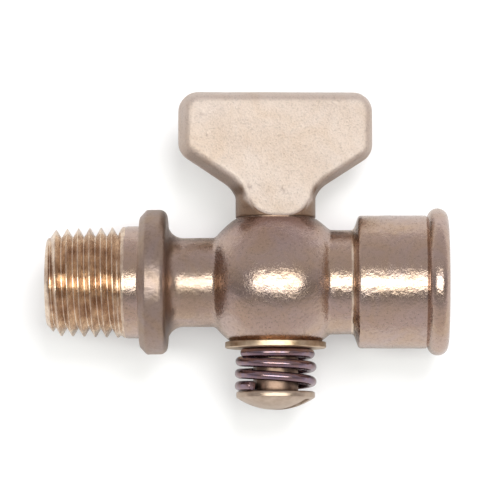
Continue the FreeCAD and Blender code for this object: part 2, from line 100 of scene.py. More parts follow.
def rounded_path(corners, step, closed=False):
    """A line of straight runs and tangent arcs. Each corner is (a, b, radius): the arc leaves each
    neighbouring run at radius * tan(half the turn) from the corner. Runs and arcs are divided
    evenly, about step apart."""
    points = np.array([corner[:2] for corner in corners], float)
    radii = [corner[2] for corner in corners]
    count = len(points)
    pieces = []
    for index in range(count):
        here = points[index]
        inner = closed or 0 < index < count - 1
        if not inner or radii[index] <= 0:
            pieces.append(here[None])
            continue
        before = points[index - 1] - here
        after = points[(index + 1) % count] - here
        before /= np.linalg.norm(before)
        after /= np.linalg.norm(after)
        half = math.acos(np.clip(before @ after, -1, 1)) / 2
        middle = (before + after) / np.linalg.norm(before + after)
        centre = here + middle * radii[index] / math.sin(half)
        start = here + before * radii[index] / math.tan(half) - centre
        sweep = math.pi - 2 * half
        turn = math.copysign(1, before[1] * after[0] - before[0] * after[1])
        angles = np.linspace(0, turn * sweep, max(3, math.ceil(radii[index] * sweep / step) + 1))
        cos, sin = np.cos(angles), np.sin(angles)
        arc = np.stack([start[0] * cos - start[1] * sin, start[0] * sin + start[1] * cos], 1)
        pieces.append(centre + arc)
    if closed:
        pieces.append(pieces[0][:1])
    path = [pieces[0]]
    for piece in pieces[1:]:
        gap = np.linalg.norm(piece[0] - path[-1][-1])
        inside = np.linspace(0, 1, max(1, math.ceil(gap / step)) + 1)[1:-1, None]
        path.append(path[-1][-1] + (piece[0] - path[-1][-1]) * inside)
        path.append(piece)
    return np.concatenate(path)


def waves(points, seed, shortest, longest, count=28):
    """Gentle unevenness between about -1 and 1: the mean of sine waves that run in every direction,
    with lengths from shortest to longest."""
    rng = np.random.default_rng(seed)
    direction = rng.normal(size=(count, 3))
    direction /= np.linalg.norm(direction, axis=1)[:, None]
    length = np.geomspace(shortest, longest, count)
    phase = rng.uniform(0, 2 * math.pi, count)
    angle = points.reshape(-1, 3) @ (direction * (2 * math.pi / length)[:, None]).T + phase
    return (np.sin(angle).sum(1) / math.sqrt(count / 2) / 1.6).reshape(points.shape[:-1])


def grid_object(name, points):
    """A mesh of quads over a grid of points in mm. Rows and columns that come back on themselves and
    rows that shrink to a point are closed by merging what coincides."""
    rows, columns = points.shape[:2]
    corner = np.arange((rows - 1) * columns).reshape(rows - 1, columns)[:, :-1].ravel()
    quads = np.stack([corner, corner + 1, corner + columns + 1, corner + columns], 1)
    mesh = bpy.data.meshes.new(name)
    mesh.from_pydata(points.reshape(-1, 3) * MM, [], quads)
    built = bmesh.new()
    built.from_mesh(mesh)
    bmesh.ops.remove_doubles(built, verts=built.verts, dist=2e-7)
    bmesh.ops.dissolve_degenerate(built, edges=built.edges, dist=1e-7)
    bmesh.ops.recalc_face_normals(built, faces=built.faces)
    if built.calc_volume(signed=True) < 0:
        bmesh.ops.reverse_faces(built, faces=built.faces)
    built.to_mesh(mesh)
    built.free()
    piece = bpy.data.objects.new(name, mesh)
    bpy.context.scene.collection.objects.link(piece)
    return piece


def polar(radius, angle, height):
    """Points about the Z axis: (r cos a, r sin a, z)."""
    return np.stack([radius * np.cos(angle), radius * np.sin(angle), height + 0 * angle], -1)


def turned_points(profile, columns=COLUMNS):
    """A profile of (radius, height) pairs turned about the Z axis."""
    return polar(profile[:, :1], np.linspace(0, 2 * math.pi, columns + 1), profile[:, 1:])


def upright(ring, y):
    """A flat (x, z) line as points at the depth y."""
    return np.stack([ring[:, 0], np.full(len(ring), y), ring[:, 1]], 1)


def on_key_axis(points, turn, height=0.0):
    """Points given about the key's own axis, turned about it and moved to its place on the pipe."""
    cos, sin = math.cos(turn), math.sin(turn)
    x, y, z = np.moveaxis(points, -1, 0)
    return np.stack([KEY_X + x * cos - y * sin, x * sin + y * cos, z + height], -1)


def block_points(low, high):
    """A box's surface as a grid: its square outline, pinched to the middle at both ends."""
    low, high = np.array(low, float), np.array(high, float)
    square = np.array([[0, 0], [1, 0], [1, 1], [0, 1], [0, 0]], float)
    rows = []
    for size, level in ((0, 0), (1, 0), (1, 1), (0, 1)):
        ring = 0.5 + (square - 0.5) * size
        rows.append(np.column_stack([ring, np.full(5, level)]))
    return low + np.array(rows) * (high - low)


def apply_modifiers(piece):
    """Keep the mesh that the piece's modifiers make, and drop the modifiers."""
    graph = bpy.context.evaluated_depsgraph_get()
    made = bpy.data.meshes.new_from_object(piece.evaluated_get(graph))
    old = piece.data
    piece.modifiers.clear()
    piece.data = made
    made.name = piece.name
    bpy.data.meshes.remove(old)


def carve(piece, tool, operation="DIFFERENCE"):
    """Cut a tool's shape out of the piece, or join it on, and drop the tool."""
    step = piece.modifiers.new("carve", "BOOLEAN")
    step.operation = operation
    step.solver = "EXACT"
    step.object = tool
    apply_modifiers(piece)
    mesh = tool.data
    bpy.data.objects.remove(tool)
    bpy.data.meshes.remove(mesh)


def soften_edges(piece, width, segments=2, angle=35):
    """Break the sharp edges by a small width."""
    step = piece.modifiers.new("edges", "BEVEL")
    step.width = width * MM
    step.segments = segments
    step.limit_method = "ANGLE"
    step.angle_limit = math.radians(angle)
    step.use_clamp_overlap = True
    apply_modifiers(piece)


def smooth_shading(piece, angle=32):
    """Shade smoothly across every edge that turns by less than the angle, in degrees."""
    mesh = piece.data
    mesh.polygons.foreach_set("use_smooth", np.ones(len(mesh.polygons), bool))
    mesh.set_sharp_from_angle(angle=math.radians(angle))


def vertex_points(piece):
    """The piece's corners in mm, one row each."""
    flat = np.empty(len(piece.data.vertices) * 3)
    piece.data.vertices.foreach_get("co", flat)
    return flat.reshape(-1, 3) / MM


def move_vertices(piece, points):
    """Put the piece's corners where the rows of points, in mm, say."""
    piece.data.vertices.foreach_set("co", (points * MM).ravel())
    piece.data.update()


def thread_rows(near, far):
    """Where the rows of a screw thread lie along the pipe, for every column. Each row runs along the
    helix, one pitch per turn, so crests and roots are exact, and is held between near and far. Also
    the depth below the crest there: a 60 degree V with narrow flats at crest and root."""
    flat = THREAD_FLAT / PITCH / 2
    flanks = np.linspace(flat, 0.5 - flat, 5)
    phases = np.concatenate([flanks, 1 - flanks[::-1]])
    turns = np.arange(-1, math.ceil(abs(far - near) / PITCH) + 1)
    steps = (turns[:, None] + phases).ravel()
    around = np.linspace(0, 1, COLUMNS + 1)
    side = math.copysign(1, far - near)
    along = near + side * PITCH * (steps[:, None] + side * around + (side < 0))
    along = np.clip(along, min(near, far), max(near, far))
    phase = along / PITCH - around
    from_root = np.abs((phase + 0.5) % 1 - 0.5) * PITCH
    depth = (PITCH / 2 - THREAD_FLAT / 2 - from_root) * math.tan(math.radians(60))
    return along, np.clip(depth, 0, THREAD_DEPTH)


def smooth_max(first, second, blend):
    """The larger of two lengths, with a fillet of about blend where they cross."""
    near = np.clip(blend - np.abs(first - second), 0, None)
    return np.maximum(first, second) + near**2 / (4 * blend)


def ease(value, start, stop):
    """0 before start, 1 after stop, and a smooth rise between."""
    share = np.clip((value - start) / (stop - start), 0, 1)
    return share * share * (3 - 2 * share)


def body_points(sizes):
    """Body skin as one closed loop of rows, each a ring about the pipe: (x, r cos a, r sin a).
    It runs from the inlet face over thread, collar, ball, barrel and bead, and back through the
    socket's thread and the waterway."""
    collar, neck, ball, barrel = (
        size / MM for size in (sizes.collar, sizes.inlet_neck, sizes.ball, sizes.barrel))
    outlet_neck, port, bore = sizes.outlet_neck / MM, sizes.port / MM, sizes.inlet_bore / MM
    tip, tip_major, blank = 5.35, 6.63, 7.0
    collar_front, collar_back, bevel, cove = 11.6, 15.0, 0.9, 2.0
    around = np.linspace(0, 2 * math.pi, COLUMNS + 1)

    def rings(path):
        return path[:, :1] + 0 * around, path[:, 1:] + 0 * around

    broken = 0.25
    face = rings(rounded_path([(broken, bore, 0), (0, bore + broken, 0), (0, tip, 0)], 0.8))

    along, depth = thread_rows(0, THREAD_END)
    crest = tip_major + along * TAPER
    chamfer_slope = 1.1
    chamfer = tip + along * chamfer_slope
    cut = np.minimum(crest - depth * (1 - ease(along, 8.7, 9.7)), chamfer)
    male = (along, cut)

    front = rounded_path([
        (THREAD_END, tip_major + THREAD_END * TAPER, 0), (THREAD_END + 0.15, blank, 0),
        (collar_front, blank, 0.25), (collar_front, collar - bevel, 0.15),
        (collar_front + 0.85, collar, 0.3), (collar_back, collar, 0.95), (collar_back, neck + 1.9, 0),
    ], 0.18)
    ball_from, ball_to, coarse = 10.4, 9.2, 0.3
    x = np.concatenate([
        collar_back + cove * (1 - np.cos(np.linspace(0, math.pi / 2, 14)[1:])),
        np.arange(collar_back + cove + coarse, KEY_X - ball_from - 0.1, coarse),
        np.linspace(KEY_X - ball_from, KEY_X + ball_to, 124),
    ])
    sink = np.clip(collar_back + cove - x, 0, cove)
    hollow = neck + cove - np.sqrt(cove**2 - sink**2)
    necks = np.where(x < KEY_X, hollow, outlet_neck)
    sphere = np.sqrt(np.clip(ball**2 - (x - KEY_X) ** 2, 0.01, None))
    fillet = np.where(x < KEY_X, 0.45, 0.3)
    middle = np.stack([x, smooth_max(sphere, necks, fillet)], 1)

    bead, bead_top = 1.3, BODY_HIGH.z
    bead_start = math.pi - math.asin((barrel - bead_top + bead) / bead)
    bead_turn = np.linspace(bead_start + 0.12, 0.1, 20)
    bead_arc = np.stack([
        LENGTH - bead + bead * np.cos(bead_turn), bead_top - bead + bead * np.sin(bead_turn)], 1)
    shoulder = rounded_path([
        (KEY_X + 9.3, outlet_neck, 0), (KEY_X + 9.75, outlet_neck + 0.05, 0.5),
        (KEY_X + 10.35, barrel, 0.45), (bead_arc[0, 0] - 0.25, barrel, 0.2), tuple(bead_arc[0]) + (0,),
    ], 0.26)
    lead_in, recess, socket_end, minor = 7.0, 1.0, 9.4, 5.74
    mouth = rounded_path([
        tuple(bead_arc[-1]) + (0,), (LENGTH, bead_arc[-1, 1] - 0.2, 0), (LENGTH, lead_in + 0.15, 0),
        (LENGTH - 0.15, lead_in, 0), (LENGTH - recess, lead_in, 0.1), (LENGTH - recess, minor, 0),
    ], 0.4)

    along_in, depth_in = thread_rows(LENGTH - recess, LENGTH - socket_end)
    drill = 5.556  # 7/16 inch
    inward = LENGTH - along_in
    tapered = minor - inward * TAPER
    crest_in, groove_in = np.maximum(drill, tapered), tapered + depth_in
    full = ease(inward, recess, 1.25) * (1 - ease(inward, 8.0, 8.4))
    female = (along_in, crest_in + (np.maximum(crest_in, groove_in) - crest_in) * full)

    drill_end, bore_end, tip_slope = LENGTH - 10.6, 16.5, math.tan(math.radians(59))
    waterway = rounded_path([
        (LENGTH - socket_end, drill, 0), (drill_end, drill, 0),
        (drill_end - (drill - port) / tip_slope, port, 0),
        (bore_end + (bore - port) / tip_slope, port, 0), (bore_end, bore, 0), (broken, bore, 0),
    ], 2.5)

    parts = [face, male, rings(front), rings(middle), rings(shoulder), rings(bead_arc), rings(mouth),
             female, rings(waterway)]
    x = np.concatenate([part[0] for part in parts])
    radius = np.concatenate([part[1] for part in parts])
    points = np.stack([x, radius * np.cos(around), radius * np.sin(around)], -1)

    # Forging and tumbling leave the skin a little wavy; cut faces and threads are true
    outer = sum(len(part[0]) for part in parts[:6])
    forged = ease(x, collar_front + 0.3, collar_front + 1.5) * (1 - ease(x, LENGTH - 0.8, LENGTH - 0.1))
    forged[outer:] = 0
    points[:, -1] = points[:, 0]
    swell = sizes.waviness / MM * (waves(points, 11, 1.1, 3.0) * 0.35 + waves(points, 12, 4.0, 11.0))
    radius = radius + swell * forged
    skin = np.stack([x, radius * np.cos(around), radius * np.sin(around)], -1)
    return np.clip(skin, BODY_LOW, BODY_HIGH)


def blade_points(sizes):
    """Handle blade: the outline of a flat bar with rounded corners, a sloping underside and coves to
    the stem, carried from the middle of the front face out to the edge, over the rounded and
    slightly drafted side and back to the middle of the back face."""
    half, thick, top = sizes.handle_half / MM, sizes.handle_thick / MM, KEY_HIGH.z
    corner, cove, slope = 2.4, 3.6, math.tan(math.radians(33))
    low, neck, sag, root, root_corner = 16.1, 4.75, 0.35, 5.5, 1.6
    armpit = low - (half - neck) * slope
    outline = rounded_path([
        (-neck, root, root_corner), (neck, root, root_corner), (neck, armpit, cove), (half, low, corner),
        (half, top, corner), (-half, top - sag, corner), (-half, low, corner), (-neck, armpit, cove),
    ], 0.2, closed=True)
    ahead = np.roll(outline[:-1], -1, 0) - np.roll(outline[:-1], 1, 0)
    outward = np.stack([ahead[:, 1], -ahead[:, 0]], 1) / np.linalg.norm(ahead, axis=1)[:, None]
    outward = np.concatenate([outward, outward[:1]])
    centre = np.array([0, 17.2])
    edge, draft = 1.5, 0.7
    section = rounded_path([
        (edge, thick / 2, 0), (draft, thick / 2, 0.95), (0, 0.6, 0.6), (0, 0, 0)], 0.12)
    rows = []
    flat = outline - outward * edge
    for share in np.linspace(0, 1, 26)[:-1]:
        ring = centre + (flat - centre) * share
        rows.append(upright(ring, -thick / 2))
    for inset, depth in section[:-1]:
        rows.append(upright(outline - outward * inset, -depth))
    front = np.array(rows)
    back = front[::-1] * np.array([1, -1, 1])
    return np.concatenate([front, back])


def tongue_points(sizes, side):
    """A scoop's shape: a U lying in the blade's plane, carried outwards from the blade's face, with
    its inner edge rounded so that the flat ends in a cove."""
    thick, bottom = sizes.handle_thick / MM, sizes.tongue_bottom / MM
    foot, waist, top = 2.4, (4.3, 10.6), (4.6, 14)
    outline = rounded_path([
        (-top[0], top[1], 0), (-waist[0], waist[1], 2.0), (-foot, bottom, 3.2), (foot, bottom, 3.2),
        (waist[0], waist[1], 2.0), (top[0], top[1], 0), (-top[0], top[1], 0),
    ], 0.25)
    centre, cove, mean_reach = np.array([0, 12.0]), 0.3, 3.5
    bend = np.linspace(0, math.pi / 2, 7)
    rounded = [(cove * (1 - math.sin(angle)), cove * (1 - math.cos(angle))) for angle in bend]
    levels = [(1, 0)] + rounded + [(0, 5), (1, 5)]
    rows = []
    for index, (inset, depth) in enumerate(levels):
        shrink = 0 if index in (0, len(levels) - 1) else 1 - inset / mean_reach
        ring = centre + (outline - centre) * shrink
        rows.append(upright(ring, side * (thick / 2 + depth)))
    return np.array(rows)


def dent(points, x, z, width, depth):
    """Press a small round dent into the handle's front face: a bell curve about (x, z)."""
    near = np.exp(-((points[:, 0] - x) ** 2 + (points[:, 2] - z) ** 2) / (2 * width**2))
    facing = ease(-points[:, 1], 1.5, 2.5)
    points[:, 1] += depth * near * facing


def coil_centres(steps):
    """Middle line of the left-hand spring from the washer down: a circle whose height falls by an
    uneven share in each half turn, flat against the washer and nearly flat on the screw."""
    falls = np.array([0.0, 0.29, 0.14, 0.22, 0.26, 0.09])
    lower_end, turns, upper_inset = math.radians(230), 3.064, 0.22
    halves = np.linspace(0, len(falls), steps)
    total = np.concatenate([[0], np.cumsum(falls)])
    reach = 0.3
    known = np.arange(len(total))
    share = sum(weight * np.interp(halves + offset, known, total)
                for weight, offset in ((0.25, -reach), (0.5, 0), (0.25, reach)))
    share /= share[-1]
    top, bottom = SPRING_HIGH.z - WIRE, SPRING_LOW.z + WIRE
    bearing = lower_end + 2 * math.pi * turns * (halves / len(falls) - 1)
    radius = (SPRING_HIGH.x - SPRING_LOW.x) / 2 - WIRE - upper_inset * (1 - ease(halves, 1.2, 2.4))
    return polar(radius, bearing, top + (bottom - top) * share)


def wire_points(centres, radius, sides=22):
    """A round wire carried along a line: rings square to the line's direction, with sheared ends
    whose rims are slightly rounded."""
    ahead = np.gradient(centres, axis=0)
    ahead /= np.linalg.norm(ahead, axis=1)[:, None]
    out = centres * np.array([1, 1, 0])
    out -= ahead * (out * ahead).sum(1)[:, None]
    out /= np.linalg.norm(out, axis=1)[:, None]
    across = np.cross(ahead, out)
    around = np.linspace(0, 2 * math.pi, sides + 1)[None, :, None]
    round_off = radius * 0.12
    circles = out[:, None] * np.cos(around) + across[:, None] * np.sin(around)
    rings = centres[:, None] + radius * circles
    first = centres[0] - ahead[0] * round_off
    last = centres[-1] + ahead[-1] * round_off
    caps = []
    for middle, index in ((first, 0), (last, -1)):
        circle = out[index] * np.cos(around[0]) + across[index] * np.sin(around[0])
        rim = middle + (radius - round_off) * circle
        caps.append((np.repeat(middle[None], sides + 1, 0), rim))
    return np.concatenate([[caps[0][0]], [caps[0][1]], rings, [caps[1][1]], [caps[1][0]]])


# ------------------------------------------------------------- materials

def linear(colour):
    """An sRGB hex colour as linear red, green, blue and alpha."""
    parts = [int(colour[at:at + 2], 16) / 255 for at in (1, 3, 5)]
    return [part / 12.92 if part <= 0.04045 else ((part + 0.055) / 1.055) ** 2.4 for part in parts] + [1]


def node(tree, kind, output=0, inputs=(), stops=(), **settings):
    """Add a node, set what it is told and fill its inputs: a value, or a link from an output. Stops
    are a colour ramp's positions and colours. Gives the output asked for, if it has any."""
    made = tree.nodes.new("ShaderNode" + kind)
    for name, value in settings.items():
        setattr(made, name, value)
    for name, value in dict(inputs).items():
        if isinstance(value, bpy.types.NodeSocket):
            tree.links.new(value, made.inputs[name])
        else:
            made.inputs[name].default_value = value
    if stops:
        elements = made.color_ramp.elements
        elements[0].position, elements[0].color = stops[0]
        elements[1].position, elements[1].color = stops[-1]
        for position, colour in stops[1:-1]:
            elements.new(position).color = colour
    return made.outputs[output] if made.outputs else made


def grey(level):
    """A grey of the given linear level, with alpha."""
    return (level, level, level, 1)


def new_metal(name):
    """A metal surface to build on: its node tree and the object's own coordinates."""
    material = bpy.data.materials.new(name)
    material.use_nodes = True
    tree = material.node_tree
    tree.nodes["Principled BSDF"].inputs["Metallic"].default_value = 1
    return material, tree, node(tree, "TexCoord", "Object")


def coat(tree, colour, roughness, normal):
    """Link a colour, a roughness and a relief to the metal's shader."""
    inputs = tree.nodes["Principled BSDF"].inputs
    for name, output in (("Base Color", colour), ("Roughness", roughness), ("Normal", normal)):
        tree.links.new(output, inputs[name])


def mottled(tree, factor, start, stop, first, second):
    """One colour turning into another as a factor goes from start to stop."""
    share = node(tree, "ValToRGB", "Color", {"Fac": factor}, [(start, grey(0)), (stop, grey(1))])
    return node(tree, "Mix", 2, {0: share, 6: first, 7: second}, **BLEND)


def forged_brass(look):
    """Hot-forged brass, bright dipped and tumbled: a glossy but pebbled rosy skin, darker and duller
    in the small hollows, so highlights break up into speckles. The collar and the neck beside it
    are darker and duller, and the ball is painted darker and browner under the handle as painted shade."""
    material, tree, place = new_metal("forged_brass_bright_dipped")
    pebble = node(tree, "TexNoise", "Fac", {
        "Vector": place, "Scale": PER_MM / 0.34, "Detail": 4, "Roughness": 0.6})
    cloud = node(tree, "TexNoise", "Fac", {
        "Vector": place, "Scale": PER_MM / 4, "Detail": 3, "Roughness": 0.55, "Distortion": 0.6})
    swell = node(tree, "TexNoise", "Fac", {
        "Vector": place, "Scale": PER_MM, "Detail": 2, "Roughness": 0.5})
    colour = mottled(tree, cloud, 0.35, 0.65, look.body, look.body_warm)
    hollow = node(tree, "ValToRGB", "Color", {"Fac": pebble}, [(0.36, grey(0.55)), (0.5, grey(1))])
    colour = node(tree, "Mix", 2, {0: 0.35, 6: colour, 7: hollow}, **MULTIPLY)
    along = node(tree, "SeparateXYZ", "X", {"Vector": place})
    along = node(tree, "MapRange", "Result", {"Value": along, "From Min": 10 * MM, "From Max": 25 * MM})
    # The collar and the neck beside it are made rougher and darker in colour
    dull = node(tree, "ValToRGB", "Color", {"Fac": along}, [
        (0.09, grey(0)), (0.12, grey(1)), (0.32, grey(1)), (0.4, grey(0.45)), (0.68, grey(0.4)),
        (0.8, grey(0))])
    darkened = node(tree, "Mix", 2, {0: 1.0, 6: colour, 7: grey(0.72)}, **MULTIPLY)
    colour = node(tree, "Mix", 2, {0: dull, 6: colour, 7: darkened}, **BLEND)
    # Painted shade: the ball's top under the handle is painted darker and browner, in place of the
    # handle's shadow and dark reflection
    shoulder = node(tree, "VectorMath", "Value", {
        0: place, 1: (KEY_X * MM, -2 * MM, BODY_HIGH.z * MM)}, operation="DISTANCE")
    shade_under_handle = node(tree, "MapRange", "Result", {
        "Value": shoulder, "From Min": 3.5 * MM, "From Max": 9.5 * MM, "To Min": 1.0, "To Max": 0.0})
    shaded_brown = node(tree, "Mix", 2, {0: 1.0, 6: colour, 7: (0.6, 0.52, 0.55, 1)}, **MULTIPLY)
    colour = node(tree, "Mix", 2, {0: shade_under_handle, 6: colour, 7: shaded_brown}, **BLEND)
    rough = node(tree, "ValToRGB", "Color", {"Fac": pebble}, [(0.35, grey(0.3)), (0.65, grey(0.16))])
    rough = node(tree, "Mix", 2, {0: dull, 6: rough, 7: grey(0.4)}, **BLEND)
    relief = node(tree, "Bump", "Normal", {"Height": swell, "Distance": 0.04 * MM})
    relief = node(tree, "Bump", "Normal", {
        "Height": pebble, "Distance": 0.035 * MM, "Normal": relief})
    coat(tree, colour, rough, relief)
    return material


def die_cut_brass(look):
    """Brass thread cut with a die: golden, with fine lines round the pipe where the die dragged."""
    material, tree, place = new_metal("die_cut_brass_thread")
    drawn = node(tree, "Mapping", "Vector", {"Vector": place, "Scale": (1.0, 0.08, 0.08)})
    drag = node(tree, "TexNoise", "Fac", {
        "Vector": drawn, "Scale": PER_MM / 0.09, "Detail": 3, "Roughness": 0.6})
    cloud = node(tree, "TexNoise", "Fac", {
        "Vector": place, "Scale": PER_MM / 1.6, "Detail": 3, "Roughness": 0.6})
    chatter = node(tree, "TexNoise", "Fac", {
        "Vector": place, "Scale": PER_MM / 0.6, "Detail": 3, "Roughness": 0.6})
    colour = mottled(tree, cloud, 0.35, 0.65, look.thread, look.thread_dark)
    rough = node(tree, "ValToRGB", "Color", {"Fac": drag}, [(0.3, grey(0.34)), (0.7, grey(0.2))])
    relief = node(tree, "Bump", "Normal", {"Height": drag, "Distance": 0.012 * MM})
    relief = node(tree, "Bump", "Normal", {
        "Height": chatter, "Distance": 0.03 * MM, "Normal": relief})
    coat(tree, colour, rough, relief)
    return material


def blasted_brass(look):
    """Forged brass blasted with fine grit: pale and matte, with a peppering of darker pits and a
    slightly browner bloom here and there. The stem's round sides are not blasted: they are glossier, and
    painted a darker brown as painted shade. A quarter of the surface is plain colour, for the light that
    scatters between the pits."""
    material, tree, place = new_metal("blasted_forged_brass")
    tree.nodes["Principled BSDF"].inputs["Metallic"].default_value = 0.75
    bare_shaded = node(tree, "Attribute", "Fac", attribute_name="unblasted_shaded")
    grit = node(tree, "TexNoise", "Fac", {
        "Vector": place, "Scale": PER_MM / 0.3, "Detail": 4, "Roughness": 0.65})
    pepper = node(tree, "TexNoise", "Fac", {
        "Vector": place, "Scale": PER_MM / 0.24, "Detail": 2, "Roughness": 0.6})
    cloud = node(tree, "TexNoise", "Fac", {
        "Vector": place, "Scale": PER_MM / 5, "Detail": 3, "Roughness": 0.55, "Distortion": 0.8})
    colour = mottled(tree, cloud, 0.35, 0.68, look.handle, look.handle_warm)
    # Painted shade: the stem's round sides take the darker stem colour
    colour = node(tree, "Mix", 2, {0: bare_shaded, 6: colour, 7: look.stem}, **BLEND)
    spots = node(tree, "ValToRGB", "Color", {"Fac": pepper}, [(0.3, grey(0.6)), (0.5, grey(1))])
    colour = node(tree, "Mix", 2, {0: 0.5, 6: colour, 7: spots}, **MULTIPLY)
    rough = node(tree, "ValToRGB", "Color", {"Fac": grit}, [(0.3, grey(0.62)), (0.7, grey(0.5))])
    rough = node(tree, "Mix", 2, {0: bare_shaded, 6: rough, 7: grey(0.36)}, **BLEND)
    relief = node(tree, "Bump", "Normal", {"Height": grit, "Distance": 0.038 * MM})
    relief = node(tree, "Bump", "Normal", {
        "Height": pepper, "Distance": 0.036 * MM, "Normal": relief})
    coat(tree, colour, rough, relief)
    return material


def turned_brass(name, light, dark, roughness, ring_mm=0.12):
    """Lathe-turned brass: fine rings about the upright axis and a little handling dullness. A wave
    texture of scale s repeats every 0.314 / s."""
    material, tree, place = new_metal(name)
    centred = node(tree, "Mapping", "Vector", {"Vector": place, "Location": (-KEY_X * MM, 0, 0)})
    rings = node(tree, "TexWave", "Fac", {
        "Vector": centred, "Scale": 0.314 / (ring_mm * MM), "Distortion": 1.5, "Detail": 2.0},
        wave_type="RINGS", rings_direction="Z")
    cloud = node(tree, "TexNoise", "Fac", {
        "Vector": place, "Scale": PER_MM / 1.2, "Detail": 4, "Roughness": 0.6})
    nicks = node(tree, "TexNoise", "Fac", {
        "Vector": place, "Scale": PER_MM / 0.35, "Detail": 3, "Roughness": 0.6})
    colour = mottled(tree, cloud, 0.35, 0.65, light, dark)
    rough = node(tree, "ValToRGB", "Color", {"Fac": cloud}, [
        (0.3, grey(roughness * 1.2)), (0.7, grey(roughness * 0.8))])
    relief = node(tree, "Bump", "Normal", {"Height": rings, "Distance": 0.004 * MM})
    relief = node(tree, "Bump", "Normal", {"Height": nicks, "Distance": 0.02 * MM, "Normal": relief})
    coat(tree, colour, rough, relief)
    return material


def tempered_wire(look):
    """Oil-tempered spring wire: a dark, purplish scale with a hard gloss and faint unevenness."""
    material, tree, place = new_metal("oil_tempered_spring_wire")
    scale = node(tree, "TexNoise", "Fac", {
        "Vector": place, "Scale": PER_MM / 0.9, "Detail": 3, "Roughness": 0.6, "Distortion": 0.3})
    drawing = node(tree, "TexNoise", "Fac", {
        "Vector": place, "Scale": PER_MM / 0.3, "Detail": 3, "Roughness": 0.6})
    colour = mottled(tree, scale, 0.38, 0.64, look.wire, look.wire_warm)
    rough = node(tree, "ValToRGB", "Color", {"Fac": scale}, [(0.3, grey(0.14)), (0.7, grey(0.24))])
    coat(tree, colour, rough, node(tree, "Bump", "Normal", {"Height": drawing, "Distance": 0.006 * MM}))
    return material


def matte_paper(level, glow_level):
    """The table's white paper, lifted a little for the camera only, as a well exposed sheet is. Its
    underside lets the view through, so the object can be seen from behind as well."""
    material = bpy.data.materials.new("white_paper_table")
    material.use_nodes = True
    tree = material.node_tree
    tree.nodes.clear()
    paper = node(tree, "BsdfDiffuse", inputs={"Color": grey(level)})
    seen = node(tree, "LightPath", "Is Camera Ray")
    lift = node(tree, "Math", inputs={0: seen, 1: glow_level}, operation="MULTIPLY")
    glow = node(tree, "Emission", inputs={"Color": grey(1), "Strength": lift})
    paper = node(tree, "AddShader", inputs={0: paper, 1: glow})
    clear = node(tree, "BsdfTransparent")
    facing = node(tree, "NewGeometry", "Backfacing")
    mixed = node(tree, "MixShader", inputs={0: facing, 1: paper, 2: clear})
    node(tree, "OutputMaterial", inputs={"Surface": mixed})
    return material


def give_materials(piece, *materials):
    """Fill the piece's material slots."""
    for material in materials:
        piece.data.materials.append(material)


# ------------------------------------------------------------ properties

class PlugCockSizes(bpy.types.PropertyGroup):
    """Sizes of the skins, in metres."""
    collar: FloatProperty(name="Collar radius", description="Outer radius of the collar",
                          default=9.03 * MM, unit="LENGTH")
    inlet_neck: FloatProperty(name="Inlet neck radius", description="Neck between collar and ball",
                              default=5.55 * MM, unit="LENGTH")
    ball: FloatProperty(name="Ball radius", description="Ball round the key",
                        default=BODY_HIGH.y * MM, unit="LENGTH")
    outlet_neck: FloatProperty(name="Outlet neck radius", description="Neck between ball and barrel",
                               default=6.5 * MM, unit="LENGTH")
    barrel: FloatProperty(name="Barrel radius", description="Socket barrel",
                          default=8.29 * MM, unit="LENGTH")
    port: FloatProperty(name="Port radius", description="Waterway through body and key",
                        default=2.25 * MM, unit="LENGTH")
    inlet_bore: FloatProperty(name="Inlet bore radius", description="Bore through the male end",
                              default=3.5 * MM, unit="LENGTH")
    waviness: FloatProperty(name="Forged waviness", description="Unevenness of the forged skin",
                            default=0.028 * MM, unit="LENGTH")
    handle_half: FloatProperty(name="Handle half span", description="Half of the handle's span",
                               default=12.2 * MM, unit="LENGTH")
    handle_thick: FloatProperty(name="Handle thickness", description="Thickness of the handle blade",
                                default=6.1 * MM, unit="LENGTH")
    tongue_bottom: FloatProperty(name="Tongue bottom", description="Lower end of the stem's flats",
                                 default=8.05 * MM, unit="LENGTH")
    key_turn: FloatProperty(name="Key turn", description="How far the handle stands off the pipe's line",
                            default=math.radians(8.5), unit="ROTATION")
    slot_turn: FloatProperty(name="Slot turn", description="Bearing of the screw's slot",
                             default=math.radians(-27), unit="ROTATION")


def finish_colour(name, description, shade):
    """A colour that the user may change, from its sRGB hex value."""
    return FloatVectorProperty(name=name, description=description, default=linear(shade), size=4,
                               min=0, max=1, subtype="COLOR")


class PlugCockColours(bpy.types.PropertyGroup):
    """Colours of the metals, and what they turn to in patches."""
    body: finish_colour("Body", "Bright dipped skin of the body", "#BDA79E")
    body_warm: finish_colour("Body bloom", "Golden patches on the body", "#BFA591")
    thread: finish_colour("Threads", "Freshly cut threads", "#EEDAC4")
    thread_dark: finish_colour("Thread tarnish", "Darker patches on the threads", "#BFA590")
    handle: finish_colour("Handle", "Blasted handle", "#CEBFB5")
    handle_warm: finish_colour("Handle bloom", "Browner patches on the handle", "#C9B6A7")
    # Painted shade: this darker brown stands in for the shade on the stem's round sides
    stem: finish_colour("Stem", "Round sides of the stem, left bare", "#8A705C")
    plug: finish_colour("Ground key", "Ground taper of the key", "#9A8070")
    plug_dark: finish_colour("Ground key grease", "Darker patches on the taper", "#6C584C")
    washer: finish_colour("Washer", "Stamped washer", "#DCC5AA")
    washer_dark: finish_colour("Washer tarnish", "Darker patches on the washer", "#BCA080")
    screw: finish_colour("Screw", "Turned screw", "#C6B3A2")
    screw_dark: finish_colour("Screw tarnish", "Darker patches on the screw", "#AF9A88")
    wire: finish_colour("Spring wire", "Scale on the spring wire", "#8B7986")
    wire_warm: finish_colour("Spring bloom", "Redder patches on the wire", "#977B7A")


